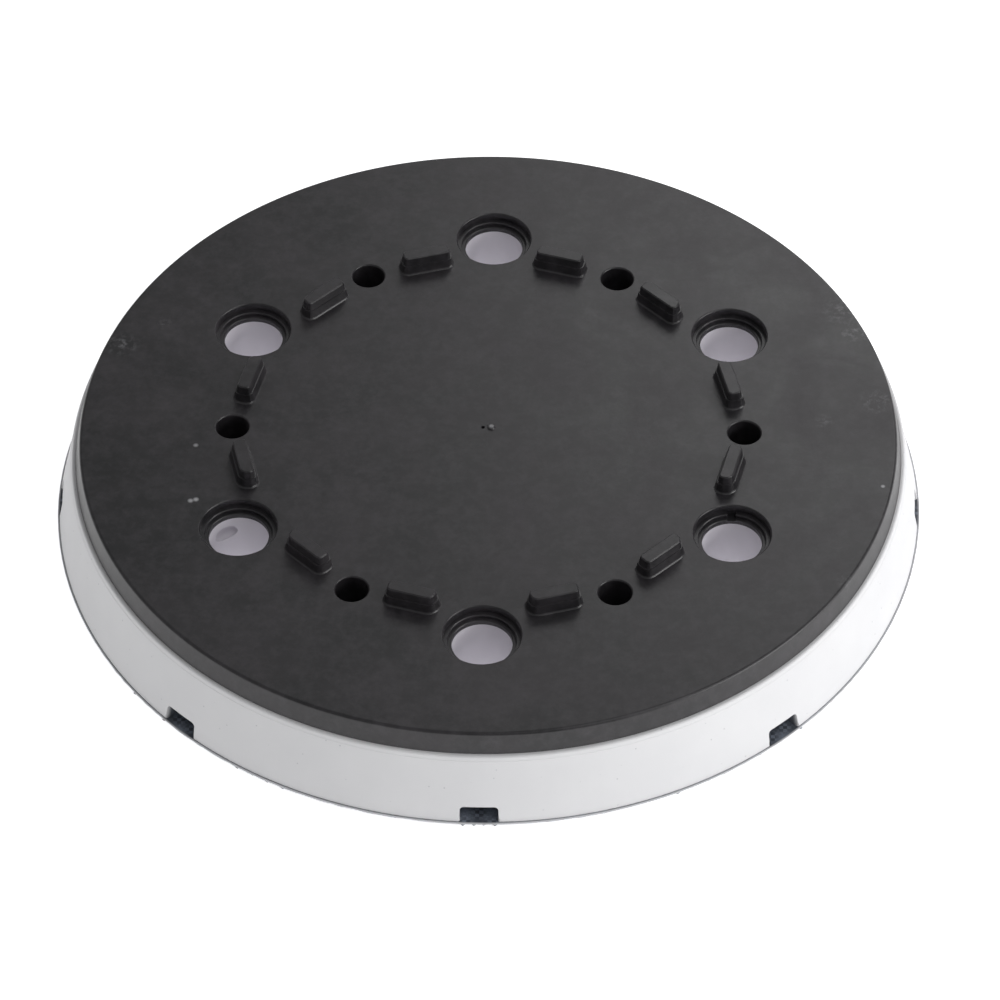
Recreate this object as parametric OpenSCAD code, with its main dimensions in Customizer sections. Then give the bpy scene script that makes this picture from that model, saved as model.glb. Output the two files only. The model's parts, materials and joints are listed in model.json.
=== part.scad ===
// Hook-faced backing pad for a round orbital sander: a moulded plate with
// driving lugs and screw bosses, a foam body cast under it, and a hook sheet
// that holds the abrasive disc. The origin is at the centre of the hooks' tips,
// and +Z points up towards the machine.

/* [Pad] */
// Diameter of the hook sheet, the nominal size of the abrasive disc
pad_d = 150; // [125:1:200]
// Height from the tips of the hooks to the plate's top face
pad_h = 17.8; // [14:0.1:30]

/* [Backing plate] */
// How far the plate's top edge lies inside the hook sheet's edge
plate_inset = 4.6; // [3:0.1:8]
// Thickness of the plate's web
web_t = 3; // [2.6:0.1:5]
// Height of the plate's rim, from the top face to the end of its skirt
rim_h = 4; // [3.2:0.1:5.5]
// Radial thickness of the skirt at its end
skirt_t = 2.2; // [1.5:0.1:4]
// How much wider the rim is at the end of its skirt than at its top
rim_flare = 0.8; // [0:0.1:2]
// Radius of the rounded top edge
edge_r = 0.6; // [0.2:0.1:1.2]
// Diameter of the round gate mark in the middle
gate_d = 12.4; // [6:0.2:20]
// Depth of the gate mark
gate_depth = 0.15; // [0.05:0.05:0.5]
// Diameter of the sprue nub that stands in the gate mark
nub_d = 1.3; // [0.6:0.1:3]
// Height of the sprue nub
nub_h = 0.45; // [0.2:0.05:1]

/* [Dust ports] */
// Number of dust ports
port_n = 6; // [3:1:6]
// Diameter of the circle that the dust ports lie on
port_pcd = 96.4; // [80:0.1:116]
// Diameter of a port's mouth in the plate's top face
port_mouth_d = 13; // [12:0.1:15]
// Depth of the mouth
port_mouth_depth = 1.4; // [0.8:0.1:1.6]
// Diameter of the step below the mouth
port_step_d = 11.4; // [10.8:0.1:11.8]
// Depth of the step below the mouth
port_step_depth = 0.7; // [0.3:0.1:0.8]
// Diameter of the port through the plate and the foam
port_d = 10.2; // [8:0.1:10.6]
// Width of the bevel around each mouth and each screw hole
hole_bevel = 0.35; // [0.1:0.05:0.5]

/* [Screw bosses] */
// Diameter of the circle that the screw holes lie on
screw_pcd = 88.1; // [78:0.1:100]
// Diameter of a screw hole
screw_d = 5.6; // [3:0.1:6.8]
// Depth of a screw hole below the top face
screw_depth = 9; // [5:0.5:10]
// Wall of a boss around its hole, and below it
boss_wall = 1.8; // [1.2:0.1:3]

/* [Driving lugs] */
// Radius of the circle that the middles of the lugs lie on
lug_circle_r = 42.8; // [36:0.1:50]
// Angle between a screw hole and the lug on each side of it
lug_a = 13.9; // [12:0.1:17]
// Length of a lug at its root
lug_l = 9.4; // [6:0.1:12]
// Width of a lug at its root, along the radius
lug_w = 3.5; // [2.5:0.1:6]
// Height of a lug above the top face
lug_h = 3.3; // [1.5:0.1:6]
// Draft of the lug's sides, from root to top
lug_draft = 0.4; // [0.1:0.05:0.6]
// Cut of the outer corner beside a screw hole
lug_small_cut = 0.9; // [0.4:0.1:1.2]
// Cut of the outer corner beside a dust port, along the lug's length
lug_large_cut = 2.3; // [1.2:0.1:3]

/* [Foam body] */
// How far the foam's bottom edge lies inside the hook sheet's edge
foam_inset = 0.3; // [0:0.1:1.5]
// How far the foam's top lip stands out past the plate's skirt
lip = 0.7; // [0.3:0.1:1.5]
// Radius of the rounded edge of the lip
lip_r = 0.5; // [0.2:0.1:0.6]
// Angle between the front air channel and the next one on each side of it
channel_near_a = 42.7; // [30:0.1:45]
// Angle between the front air channel and the second one on each side of it
channel_side_a = 88.2; // [80:0.1:100]
// Width of an air channel
channel_w = 6.4; // [4:0.1:9]
// Height of an air channel
channel_h = 3; // [1.5:0.1:5]
// Length of an air channel, in from the foam's bottom edge
channel_l = 12; // [6:0.5:14]

/* [Hook sheet] */
// How much wider a hole in the hook sheet is than the port above it
sheet_hole_clearance = 0.4; // [0:0.1:1]
// Thickness of the adhesive film
film_t = 0.1; // [0.05:0.05:0.4]
// Thickness of the hook sheet's base cloth
cloth_t = 0.3; // [0.2:0.05:0.8]
// Height of the hooks below the base cloth
pile_h = 0.5; // [0.4:0.1:1.4]

/* [Hidden] */
$fn = 96;
eps = 0.5;

// Heights of the layers, from the hooks' tips upwards
cloth_z = pile_h;
film_z = cloth_z + cloth_t;
foam_z = film_z + film_t;
skirt_z = pad_h - rim_h;
web_z = pad_h - web_t;

// Radii, from the middle outwards
pad_r = pad_d / 2;
plate_r = pad_r - plate_inset;
skirt_r = plate_r + rim_flare;
skirt_inner_r = skirt_r - skirt_t;
lip_outer_r = skirt_r + lip;
sheet_r = pad_r;
foam_r = pad_r - foam_inset;
gate_floor_z = pad_h - gate_depth;

// Dust ports and screw holes take turns around the plate
screw_a = 0;
port_a = screw_a + 180 / port_n;
boss_d = screw_d + 2 * boss_wall;
boss_h = screw_depth + boss_wall - web_t;

// Air channels: one in front, two on each side of it, and three at the back
front_a = -90;
channel_angles = concat(
    [front_a, -front_a],
    [for (side = [-1, 1]) front_a + side * channel_near_a],
    [for (side = [-1, 1]) front_a + side * channel_side_a],
    [for (side = [-1, 1]) -front_a + side * channel_near_a]);

// Points of an arc about c, of radius r, from angle a to angle b
function arc(c, r, a, b, n = 6) =
    [for (i = [0:n]) c + r * [cos(a + (b - a) * i / n), sin(a + (b - a) * i / n)]];

// Copies its children around Z, n times, the first at angle a and radius r
module around(n, r, a = 0) {
    for (i = [0:n - 1])
        rotate([0, 0, a + i * 360 / n])
            translate([r, 0, 0])
                children();
}

// A 45 degree bevel around a hole of diameter d that opens at height z
module bevel_cut(d, z) {
    translate([0, 0, z - hole_bevel])
        cylinder(d1 = d, d2 = d + 2 * hole_bevel + 2 * eps, h = hole_bevel + eps);
}

// Half section of the plate: web, rounded top edge and flared skirt
module plate_section() {
    polygon(concat(
        [[0, web_z], [skirt_inner_r, web_z], [skirt_inner_r, skirt_z], [skirt_r, skirt_z]],
        arc([plate_r - edge_r, pad_h - edge_r], edge_r, 0, 90),
        [[0, pad_h]]));
}

// Outline of a lug seen from above: straight inside, two cut corners outside
module lug_outline() {
    half_l = lug_l / 2;
    half_w = lug_w / 2;
    polygon([
        [-half_w, -half_l],
        [half_w - lug_small_cut, -half_l],
        [half_w, -half_l + lug_small_cut],
        [half_w, half_l - lug_large_cut],
        [half_w - lug_large_cut / 2, half_l],
        [-half_w, half_l]]);
}

// Section of a lug of width w at its root, with draft on both sides
module lug_section(w) {
    polygon([
        [-w / 2, -eps],
        [w / 2, -eps],
        [w / 2, 0],
        [w / 2 - lug_draft, lug_h],
        [-w / 2 + lug_draft, lug_h],
        [-w / 2, 0]]);
}

// One lug: its outline, tapered along and across; side is 1 or -1 and mirrors it
module lug(side) {
    translate([0, 0, pad_h])
        mirror([0, side < 0 ? 1 : 0, 0])
            intersection() {
                translate([0, 0, -eps])
                    linear_extrude(lug_h + eps) lug_outline();
                rotate([90, 0, 0])
                    linear_extrude(lug_l, center = true) lug_section(lug_w);
                rotate([90, 0, 90])
                    linear_extrude(lug_w, center = true) lug_section(lug_l);
            }
}

// The stepped hole that a dust port makes in the plate
module plate_port_cut() {
    translate([0, 0, skirt_z - eps])
        cylinder(d = port_d, h = rim_h + 2 * eps);
    translate([0, 0, pad_h - port_mouth_depth - port_step_depth])
        cylinder(d = port_step_d, h = port_mouth_depth + port_step_depth + eps);
    translate([0, 0, pad_h - port_mouth_depth])
        cylinder(d = port_mouth_d, h = port_mouth_depth + lug_h + eps);
    bevel_cut(port_mouth_d, pad_h);
}

// The blind hole in a boss
module screw_cut() {
    translate([0, 0, pad_h - screw_depth])
        cylinder(d = screw_d, h = screw_depth + lug_h + eps);
    bevel_cut(screw_d, pad_h);
}

// A boss below the plate's web, reaching up into it by rise
module boss(rise = 0) {
    translate([0, 0, web_z - boss_h])
        cylinder(d = boss_d, h = boss_h + rise);
}

module backing_plate() {
    color("#29282a")
        difference() {
            union() {
                rotate_extrude() plate_section();
                around(port_n, screw_pcd / 2, screw_a) boss(web_t / 2);
                around(port_n, lug_circle_r, screw_a + lug_a) lug(1);
                around(port_n, lug_circle_r, screw_a - lug_a) lug(-1);
            }
            around(port_n, port_pcd / 2, port_a) plate_port_cut();
            around(port_n, screw_pcd / 2, screw_a) screw_cut();
            difference() {
                translate([0, 0, gate_floor_z])
                    cylinder(d = gate_d, h = gate_depth + eps);
                translate([0, 0, gate_floor_z - eps])
                    cylinder(d = nub_d, h = nub_h + eps);
            }
        }
    color("#29282a")
        translate([0, 0, gate_floor_z - eps])
            cylinder(d = nub_d, h = nub_h + eps);
}

// Half section of the foam: it fills the plate's underside and flares outwards
module foam_section() {
    polygon(concat(
        [[0, foam_z], [foam_r, foam_z]],
        arc([lip_outer_r - lip_r, skirt_z - lip_r], lip_r, 0, 90),
        [[skirt_inner_r, skirt_z], [skirt_inner_r, web_z], [0, web_z]]));
}

// One air channel, open at the foam's bottom edge, with a rounded roof
module channel_cut() {
    corner_r = channel_h / 4;
    translate([foam_r - channel_l, 0, foam_z])
        rotate([90, 0, 90])
            linear_extrude(channel_l + eps)
                polygon(concat(
                    [[-channel_w / 2, -eps], [channel_w / 2, -eps]],
                    arc([channel_w / 2 - corner_r, channel_h - corner_r], corner_r, 0, 90),
                    arc([-channel_w / 2 + corner_r, channel_h - corner_r], corner_r, 90, 180)));
}

module foam_body() {
    color("#e0e0e3")
        difference() {
            rotate_extrude() foam_section();
            around(port_n, port_pcd / 2, port_a)
                translate([0, 0, foam_z - eps])
                    cylinder(d = port_d, h = pad_h);
            around(port_n, screw_pcd / 2, screw_a) boss(eps);
            for (a = channel_angles)
                rotate([0, 0, a])
                    channel_cut();
        }
}

// A round layer of the hook sheet, from height z up by t, with the dust ports in it
module sheet_layer(z, t) {
    difference() {
        translate([0, 0, z])
            cylinder(r = sheet_r, h = t);
        around(port_n, port_pcd / 2, port_a)
            translate([0, 0, z - eps])
                cylinder(d = port_d + sheet_hole_clearance, h = t + 2 * eps);
    }
}

module adhesive_film() {
    color("#3a4048") sheet_layer(film_z, film_t);
}

module hook_base_cloth() {
    color("#43474b") sheet_layer(cloth_z, cloth_t);
}

module hook_pile() {
    color("#a9acb1") sheet_layer(0, pile_h);
}

backing_plate();
foam_body();
adhesive_film();
hook_base_cloth();
hook_pile();
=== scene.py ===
"""Backing pad of a round orbital sander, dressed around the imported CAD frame.

The pad is a black moulded plate over a pale foam body, with a sheet of nylon
hooks bonded underneath. Sizes are in millimetres, and places are in the
frame's own axes: +Z runs from the abrasive side towards the machine. A new
piece is modelled in millimetres and shrunk to metres when it is handed over.
"""

import json
import logging
import math
import random
from collections.abc import Callable, Iterator
from contextlib import contextmanager
from dataclasses import dataclass
from enum import Enum

import bpy
from mathutils import Matrix, Vector, noise


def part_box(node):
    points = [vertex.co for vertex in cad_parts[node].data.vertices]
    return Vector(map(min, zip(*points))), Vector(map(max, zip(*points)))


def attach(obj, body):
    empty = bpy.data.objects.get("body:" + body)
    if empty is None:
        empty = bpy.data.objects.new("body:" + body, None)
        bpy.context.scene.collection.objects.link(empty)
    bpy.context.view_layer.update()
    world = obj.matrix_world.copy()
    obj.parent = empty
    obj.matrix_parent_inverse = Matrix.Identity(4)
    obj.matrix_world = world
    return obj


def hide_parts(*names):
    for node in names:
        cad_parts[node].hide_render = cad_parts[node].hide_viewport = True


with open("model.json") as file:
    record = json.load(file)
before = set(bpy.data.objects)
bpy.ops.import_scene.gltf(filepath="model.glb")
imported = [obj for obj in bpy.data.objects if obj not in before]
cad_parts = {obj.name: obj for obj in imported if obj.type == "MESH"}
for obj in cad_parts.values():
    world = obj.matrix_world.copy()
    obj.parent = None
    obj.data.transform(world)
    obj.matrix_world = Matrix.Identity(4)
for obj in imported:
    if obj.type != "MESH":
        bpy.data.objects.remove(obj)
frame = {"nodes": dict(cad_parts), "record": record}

LOG = logging.getLogger("backing_pad")
METRES = 0.001
BODY = "root"

Point = tuple[float, float]
Colour = tuple[float, float, float, float]


# ------------------------------------------------------------- modelling tools


def arc(centre: Point, radius: float, start: float, end: float, steps: int) -> list[Point]:
    """Gives points along an arc in a half section.

    Args:
        centre: Radius and height of the arc's centre.
        radius: The arc's own radius.
        start: First angle, in degrees from the outward direction.
        end: Last angle, in degrees.
        steps: How many straight stretches stand for the arc.

    Returns:
        The points, as pairs of radius and height.
    """
    angles = [math.radians(start + (end - start) * i / steps) for i in range(steps + 1)]
    return [(centre[0] + radius * math.cos(a), centre[1] + radius * math.sin(a)) for a in angles]


def around(radius: float, degrees: float) -> Vector:
    """Gives the place at a radius from the pad's axis and an angle from +X towards +Y."""
    a = math.radians(degrees)
    return Vector((radius * math.cos(a), radius * math.sin(a), 0.0))


def pick_only(*objects: bpy.types.Object) -> None:
    """Selects just these objects and makes the first one active.

    Args:
        *objects: The objects to select.
    """
    bpy.ops.object.select_all(action="DESELECT")
    for obj in objects:
        obj.select_set(True)
    bpy.context.view_layer.objects.active = objects[0]


def settle(obj: bpy.types.Object) -> None:
    """Applies an object's own place, turn and scale to its mesh."""
    pick_only(obj)
    bpy.ops.object.transform_apply(location=True, rotation=True, scale=True)


@contextmanager
def shaping(obj: bpy.types.Object, pick_all: bool = True) -> Iterator[None]:
    """Holds an object in edit mode while its mesh is shaped.

    Args:
        obj: The object to shape.
        pick_all: Whether the whole mesh is selected first.

    Yields:
        Nothing; the object is in edit mode meanwhile.
    """
    pick_only(obj)
    bpy.ops.object.mode_set(mode="EDIT")
    if pick_all:
        bpy.ops.mesh.select_all(action="SELECT")
    yield
    bpy.ops.object.mode_set(mode="OBJECT")


def face_outwards(obj: bpy.types.Object) -> None:
    """Turns all of a closed mesh's faces outwards."""
    with shaping(obj):
        bpy.ops.mesh.normals_make_consistent(inside=False)


def started(name: str, primitive: Callable, **settings: object) -> bpy.types.Object:
    """Adds a primitive that is going to be shaped, with nothing else selected.

    Args:
        name: The new object's name.
        primitive: The operator that adds it.
        **settings: The operator's own settings.

    Returns:
        The new object.
    """
    bpy.ops.object.select_all(action="DESELECT")
    primitive(**settings)
    bpy.context.active_object.name = name
    return bpy.context.active_object


def turned(name: str, profile: list[Point], sides: int,
           centre: Point = (0.0, 0.0)) -> bpy.types.Object:
    """Builds a turned solid, ring by ring, from its half section.

    Args:
        name: The new object's name.
        profile: Radius and height of each ring, from one end to the other.
        sides: How many sides each ring has.
        centre: Where the turning axis stands, across X and Y.

    Returns:
        A closed mesh object at the origin, with its place in its mesh.
    """
    radius, height = profile[0]
    obj = started(name, bpy.ops.mesh.primitive_circle_add, vertices=sides, radius=radius,
                  fill_type="NGON", location=(*centre, height))
    with shaping(obj):
        for next_radius, next_height in profile[1:]:
            bpy.ops.mesh.extrude_region_move(
                TRANSFORM_OT_translate={"value": (0, 0, next_height - height)})
            ratio = next_radius / radius
            bpy.ops.transform.resize(value=(ratio, ratio, 1),
                                     center_override=(*centre, next_height))
            radius, height = next_radius, next_height
    settle(obj)
    face_outwards(obj)
    return obj


def turned_copy(obj: bpy.types.Object, degrees: float) -> bpy.types.Object:
    """Copies an object and its mesh, turned about the pad's axis.

    Args:
        obj: The object to copy.
        degrees: How far to turn the copy.

    Returns:
        The copy.
    """
    pick_only(obj)
    bpy.ops.object.duplicate(linked=False)
    twin = bpy.context.active_object
    twin.rotation_euler = (0, 0, math.radians(degrees))
    settle(twin)
    return twin


def joined(name: str, objects: list[bpy.types.Object]) -> bpy.types.Object:
    """Joins objects into one.

    Args:
        name: The joined object's name.
        objects: The objects, which don't touch each other.

    Returns:
        The joined object.
    """
    pick_only(*objects)
    bpy.ops.object.join()
    bpy.context.active_object.name = name
    return bpy.context.active_object


def turned_at(places: list[Vector], name: str, profile: list[Point],
              sides: int) -> bpy.types.Object:
    """Turns the same solid at several places and joins the copies.

    Args:
        places: Where the turning axes stand.
        name: Name of the joined solids.
        profile: Radius and height of each ring, from one end to the other.
        sides: How many sides each ring has.

    Returns:
        The solids as one object.
    """
    return joined(name, [turned(name, profile, sides, (p.x, p.y)) for p in places])


def delete(obj: bpy.types.Object) -> None:
    """Deletes an object that has done its work."""
    pick_only(obj)
    bpy.ops.object.delete()


class Join(Enum):
    """The ways in which a tool shape changes a piece."""

    ADD = "UNION"
    CUT = "DIFFERENCE"


def shape_with(piece: bpy.types.Object, tool: bpy.types.Object, how: Join) -> None:
    """Adds a tool shape to a piece, or cuts it away, and deletes the tool.

    Args:
        piece: The object that is changed.
        tool: The closed mesh that is added or cut away.
        how: Whether to add or to cut.
    """
    step = piece.modifiers.new(tool.name, "BOOLEAN")
    step.operation = how.value
    step.solver = "EXACT"
    step.object = tool
    pick_only(piece)
    bpy.ops.object.modifier_apply(modifier=step.name)
    delete(tool)


def hand_over(piece: bpy.types.Object, node: str, crease: float,
              material: bpy.types.Material) -> None:
    """Shades and dresses a piece, shrinks it to metres and puts it in a CAD node's place.

    Args:
        piece: The piece, modelled in millimetres.
        node: The CAD node that it stands for.
        crease: Edges sharper than this many degrees stay sharp.
        material: The material that covers the piece.
    """
    pick_only(piece)
    bpy.ops.object.shade_smooth_by_angle(angle=math.radians(crease))
    flats = piece.modifiers.new("flat_faces_first", "WEIGHTED_NORMAL")
    flats.keep_sharp = True
    flats.weight = 100
    bpy.ops.object.modifier_apply(modifier=flats.name)
    piece.scale = (METRES, METRES, METRES)
    settle(piece)
    dress(piece, material)
    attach(piece, BODY)
    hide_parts(node)
    LOG.info("%s: %d faces", piece.name, len(piece.data.polygons))


def dress(piece: bpy.types.Object, material: bpy.types.Material) -> None:
    """Gives a piece one material all over."""
    piece.data.materials.clear()
    piece.data.materials.append(material)


# ------------------------------------------------------------------- finishes


def linear(hex_code: str) -> Colour:
    """Turns an sRGB hex value into the linear colour that shaders take.

    Args:
        hex_code: Six hex digits with a leading #.

    Returns:
        Linear red, green and blue, and an alpha of 1.
    """
    parts = [int(hex_code[i:i + 2], 16) / 255 for i in (1, 3, 5)]
    levels = [c / 12.92 if c <= 0.04045 else ((c + 0.055) / 1.055) ** 2.4 for c in parts]
    return (levels[0], levels[1], levels[2], 1.0)


def every(size: float) -> float:
    """Gives the texture scale, on coordinates in metres, of a pattern of a size in millimetres."""
    return 1 / (size * METRES)


# Sockets of a mix node that are told apart only by number: its two colours and its colour result.
LOW, HIGH, BLEND = 6, 7, 2


class Shader:
    """A new material's nodes, around its principled shader."""

    def __init__(self, name: str) -> None:
        """Makes the material.

        Args:
            name: The material's name.
        """
        self.material = bpy.data.materials.new(name)
        self.material.use_nodes = True
        self.tree = self.material.node_tree
        self.surface = self.tree.nodes["Principled BSDF"]
        self.place = self.node("ShaderNodeTexCoord").outputs["Object"]

    def node(self, kind: str, inputs: dict | None = None, **settings: object) -> bpy.types.Node:
        """Adds a node with its settings and links.

        Args:
            kind: The node's type name.
            inputs: Input names or numbers, each with a value, a hex colour or a socket.
            **settings: Attributes of the node itself.

        Returns:
            The new node.
        """
        node = self.tree.nodes.new(kind)
        for name, value in settings.items():
            setattr(node, name, value)
        self.fill(node, inputs or {})
        return node

    def fill(self, node: bpy.types.Node, inputs: dict) -> None:
        """Sets or links some inputs of a node.

        Args:
            node: The node.
            inputs: Input names or numbers, each with a value, a hex colour or a socket.
        """
        for name, value in inputs.items():
            if isinstance(value, bpy.types.NodeSocket):
                self.tree.links.new(value, node.inputs[name])
            else:
                colour = isinstance(value, str)
                node.inputs[name].default_value = linear(value) if colour else value

    def layered(self, base: object,
                layers: list[tuple[bpy.types.NodeSocket, str]]) -> bpy.types.NodeSocket:
        """Lays colours over a base, each where its mask says.

        Args:
            base: The lowest colour, as a hex value or a socket.
            layers: Pairs of a mask and a hex colour, from the lowest to the highest.

        Returns:
            The finished colour.
        """
        colour = base
        for mask, tint in layers:
            colour = self.node("ShaderNodeMix", {"Factor": mask, LOW: colour, HIGH: tint},
                               data_type="RGBA").outputs[BLEND]
        return colour

    def from_axis(self) -> bpy.types.NodeSocket:
        """Measures how far each place lies from the pad's axis.

        Returns:
            The distance, in metres.
        """
        flat = self.node("ShaderNodeVectorMath", {0: self.place, 1: (1, 1, 0)},
                         operation="MULTIPLY").outputs["Vector"]
        return self.node("ShaderNodeVectorMath", {0: flat}, operation="LENGTH").outputs["Value"]


@dataclass(frozen=True)
class Band:
    """The stretch of a pattern's values over which something fades in."""

    start: float
    end: float

    @property
    def inputs(self) -> dict[str, float]:
        """The band, as inputs of a map range node."""
        return {"From Min": self.start, "From Max": self.end}


@dataclass(frozen=True)
class Relief:
    """How strongly a pattern stands out of a surface, and how far in millimetres."""

    strength: float
    height: float

    @property
    def inputs(self) -> dict[str, float]:
        """The relief, as inputs of a bump node."""
        return {"Strength": self.strength, "Distance": self.height * METRES}


@dataclass(frozen=True)
class Mark:
    # A mark is a worn or dusty spot, or a painted highlight such as the one on the sprue's stub.
    """A small worn or dusty spot on the plate's top, in millimetres."""

    x: float
    y: float
    radius: float
    strength: float


@dataclass(frozen=True)
class MouldedNylon:
    """Glass-filled nylon, injection moulded black.

    The mould gives it a satin skin with faint flow marks, and the glass near
    the surface a fine grain. Handling leaves scuffs near the rim and a few
    bits of foam. A pale spot on the sprue's torn stub is a painted highlight.
    """

    name: str = "glass_filled_nylon_moulded"
    base: str = "#141416"
    flow: str = "#282528"
    fleck: str = "#444145"
    scuff: str = "#8d8d90"
    # Pale grey of the foam bits, also used for the painted highlight on the sprue's stub.
    crumb_and_highlight_tint: str = "#c9c9cc"
    roughness: float = 0.38
    roughness_swing: float = 0.06
    gloss_band: Band = Band(0.3, 0.7)
    grain: float = 0.5
    grain_relief: Relief = Relief(0.12, 0.04)
    mottle: float = 2.4
    mottle_band: Band = Band(0.42, 0.72)
    mottle_share: float = 0.4
    flow_mark: float = 16.0
    flow_band: Band = Band(0.35, 0.65)
    flow_relief: Relief = Relief(0.18, 0.08)
    chafing: float = 1.1
    chafing_band: Band = Band(0.48, 0.68)
    scuff_fade: float = 1.0
    crumb_and_highlight_fade: float = 0.7
    scuffs: tuple[Mark, ...] = (
        Mark(-64.5, 20.0, 3.4, 0.55), Mark(-57.5, 25.5, 1.8, 0.3), Mark(61.5, 30.5, 4.6, 0.4),
        Mark(63.5, 25.0, 3.4, 0.5), Mark(67.0, 8.0, 3.4, 0.5), Mark(57.8, 3.0, 2.0, 0.3),
        Mark(61.0, -35.0, 2.4, 0.25),
    )
    crumb_and_highlight_marks: tuple[Mark, ...] = (
        Mark(-50.1, -4.7, 0.55, 0.45), Mark(-50.2, -18.0, 0.6, 0.55), Mark(-49.3, -17.7, 0.6, 0.6),
        # Of the next two marks, the second is a painted highlight on the sprue's torn stub.
        Mark(67.5, -12.6, 0.45, 0.6), Mark(0.5, 0.6, 0.6, 0.55),
    )

    def build(self, top: float) -> bpy.types.Material:
        """Builds the material.

        Args:
            top: Height of the plate's top face.

        Returns:
            The finished material.
        """
        s = Shader(self.name)
        flow = s.node("ShaderNodeTexNoise",
                      {"Vector": s.place, "Scale": every(self.flow_mark), "Detail": 6.0,
                       "Roughness": 0.62, "Distortion": 0.9}).outputs["Fac"]
        grain = s.node("ShaderNodeTexNoise",
                       {"Vector": s.place, "Scale": every(self.grain), "Detail": 2.0}).outputs["Fac"]
        chafed = s.node("ShaderNodeTexNoise",
                        {"Vector": s.place, "Scale": every(self.chafing), "Detail": 4.0,
                         "Roughness": 0.7}).outputs["Fac"]
        flecks = s.node("ShaderNodeMapRange",
                        {"Value": chafed, **self.chafing_band.inputs}).outputs["Result"]
        swirls = s.node("ShaderNodeMapRange",
                        {"Value": flow, **self.flow_band.inputs}).outputs["Result"]
        mottle = s.node("ShaderNodeTexNoise",
                        {"Vector": s.place, "Scale": every(self.mottle), "Detail": 5.0,
                         "Roughness": 0.75}).outputs["Fac"]
        specks = s.node("ShaderNodeMapRange",
                        {"Value": mottle, **self.mottle_band.inputs,
                         "To Max": self.mottle_share}).outputs["Result"]
        layers = [(swirls, self.flow), (specks, self.fleck)]
        layers += [(self.spot(s, mark, top, self.scuff_fade, flecks), self.scuff)
                   for mark in self.scuffs]
        # Bits of foam, plus a painted highlight on the sprue's stub.
        layers += [(self.spot(s, mark, top, self.crumb_and_highlight_fade, None), self.crumb_and_highlight_tint)
                   for mark in self.crumb_and_highlight_marks]
        colour = s.layered(self.base, layers)
        gloss = s.node("ShaderNodeMapRange",
                       {"Value": flow, **self.gloss_band.inputs,
                        "To Min": self.roughness - self.roughness_swing,
                        "To Max": self.roughness + self.roughness_swing}).outputs["Result"]
        fine = s.node("ShaderNodeBump", {"Height": grain, **self.grain_relief.inputs})
        waves = s.node("ShaderNodeBump", {"Height": flow, **self.flow_relief.inputs,
                                          "Normal": fine.outputs["Normal"]})
        s.fill(s.surface, {"Base Color": colour, "Roughness": gloss, "IOR": 1.53,
                           "Normal": waves.outputs["Normal"]})
        return s.material

    def spot(self, s: Shader, mark: Mark, top: float, fade: float,
             breakup: bpy.types.NodeSocket | None) -> bpy.types.NodeSocket:
        """Adds the mask of one mark.

        Args:
            s: The material's nodes.
            mark: Where the mark is and how large and strong.
            top: Height of the plate's top face.
            fade: Over how much of its radius the mark fades.
            breakup: A pattern that breaks the mark into flecks, or None.

        Returns:
            The share of the mark's colour, from 0 to its strength.
        """
        centre = (mark.x * METRES, mark.y * METRES, top * METRES)
        away = s.node("ShaderNodeVectorMath", {0: s.place, 1: centre}, operation="DISTANCE")
        share = s.node("ShaderNodeMapRange",
                       {"Value": away.outputs["Value"],
                        "From Min": mark.radius * (1 - fade) * METRES,
                        "From Max": mark.radius * METRES,
                        "To Min": mark.strength, "To Max": 0.0}).outputs["Result"]
        if breakup is None:
            return share
        return s.node("ShaderNodeMath", {0: share, 1: breakup},
                      operation="MULTIPLY").outputs["Value"]


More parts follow.
